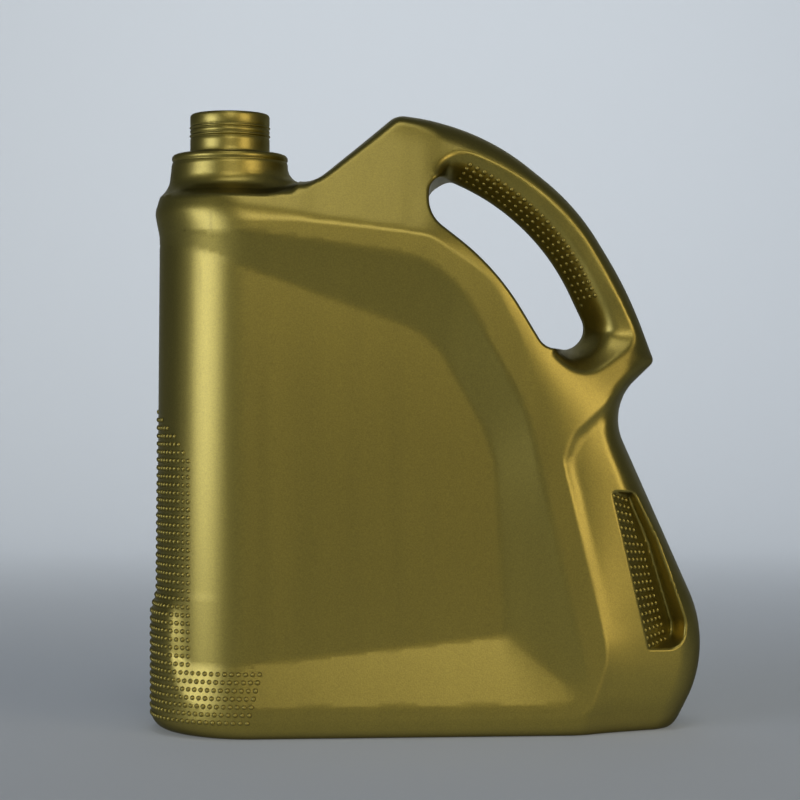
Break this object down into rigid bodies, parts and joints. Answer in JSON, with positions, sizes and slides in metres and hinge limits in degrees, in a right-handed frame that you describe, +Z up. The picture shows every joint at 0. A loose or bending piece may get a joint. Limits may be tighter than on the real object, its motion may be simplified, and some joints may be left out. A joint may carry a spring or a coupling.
{
  "type": "plastic oil jug",
  "caption": "Blow-moulded gold oil jug with a side handle, offset screw neck, flat label fields on both faces and finger grips in the hip.",
  "frame": {"origin": "on the floor, under the middle of the jug's length and depth", "axes": "+Z up, +X from the neck end towards the hip and handle, -Y out of the front face; the mould parts on the plane y = 0"},
  "size_m": [0.2585, 0.0996, 0.2884],
  "materials": {
    "gold_plastic": "satin pearlescent gold, moulded through"
  },
  "bodies": {
    "root": {"jug": "gold_plastic"}
  },
  "joints": []
}
